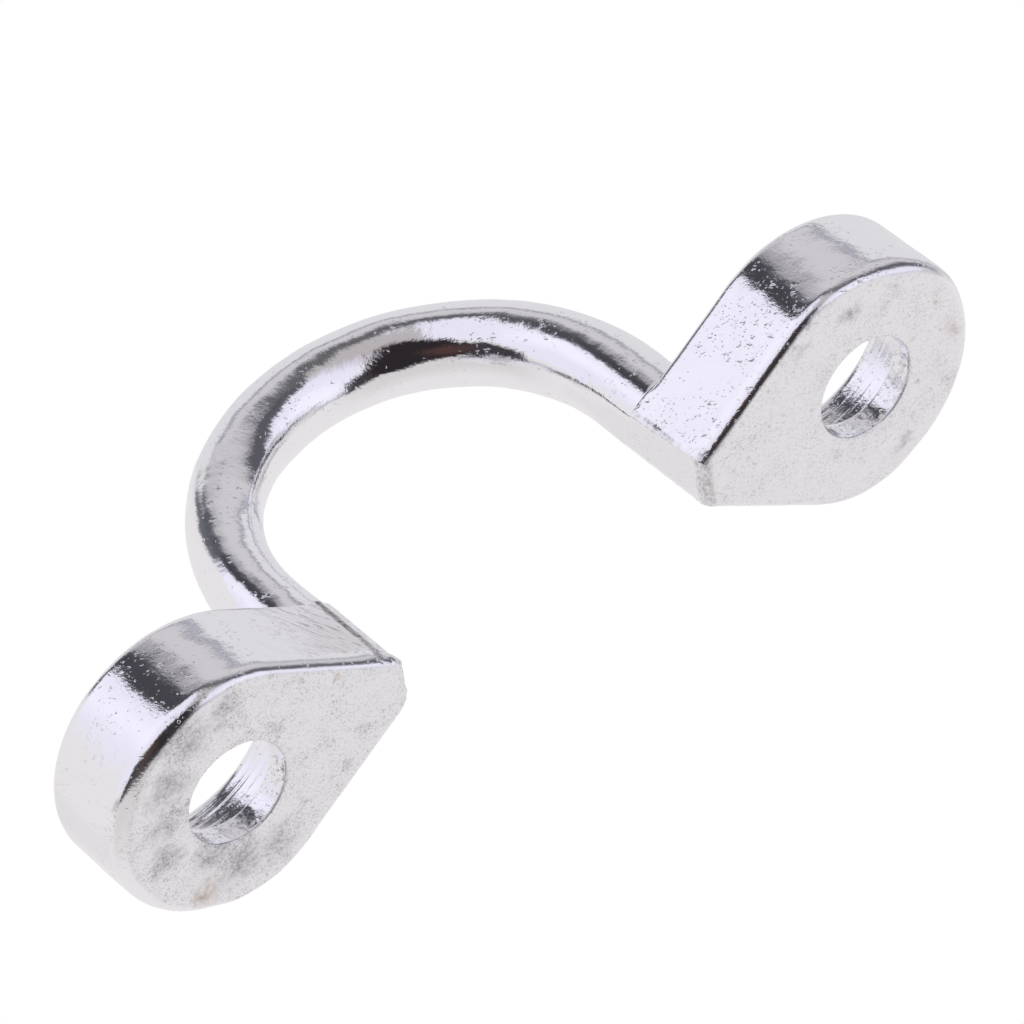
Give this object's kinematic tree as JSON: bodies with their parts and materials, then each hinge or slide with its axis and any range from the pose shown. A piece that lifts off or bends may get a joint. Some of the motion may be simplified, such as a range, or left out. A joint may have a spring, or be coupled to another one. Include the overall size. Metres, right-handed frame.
{
  "type": "pad eye",
  "caption": "Steel pad eye: a half-round rod bow on teardrop lugs with counterbored screw holes, for fixing a line, shackle or hook to a deck.",
  "frame": {"origin": "middle of the mounting plane, halfway between the two screw holes, on the plane the lugs lie on", "axes": "+X from the left lug to the right lug, +Y across the lugs, +Z out of the mounting plane towards the bow"},
  "size_m": [0.0604, 0.0158, 0.025],
  "materials": {
    "bow": "polished cast stainless steel, fine pits, bright",
    "left_lug": "glossy pitted sides, satin mounting face with grey smudges",
    "right_lug": "glossy pitted sides, satin mounting face"
  },
  "bodies": {
    "root": {"bow": "bow", "left_lug": "left_lug", "right_lug": "right_lug"}
  },
  "joints": []
}
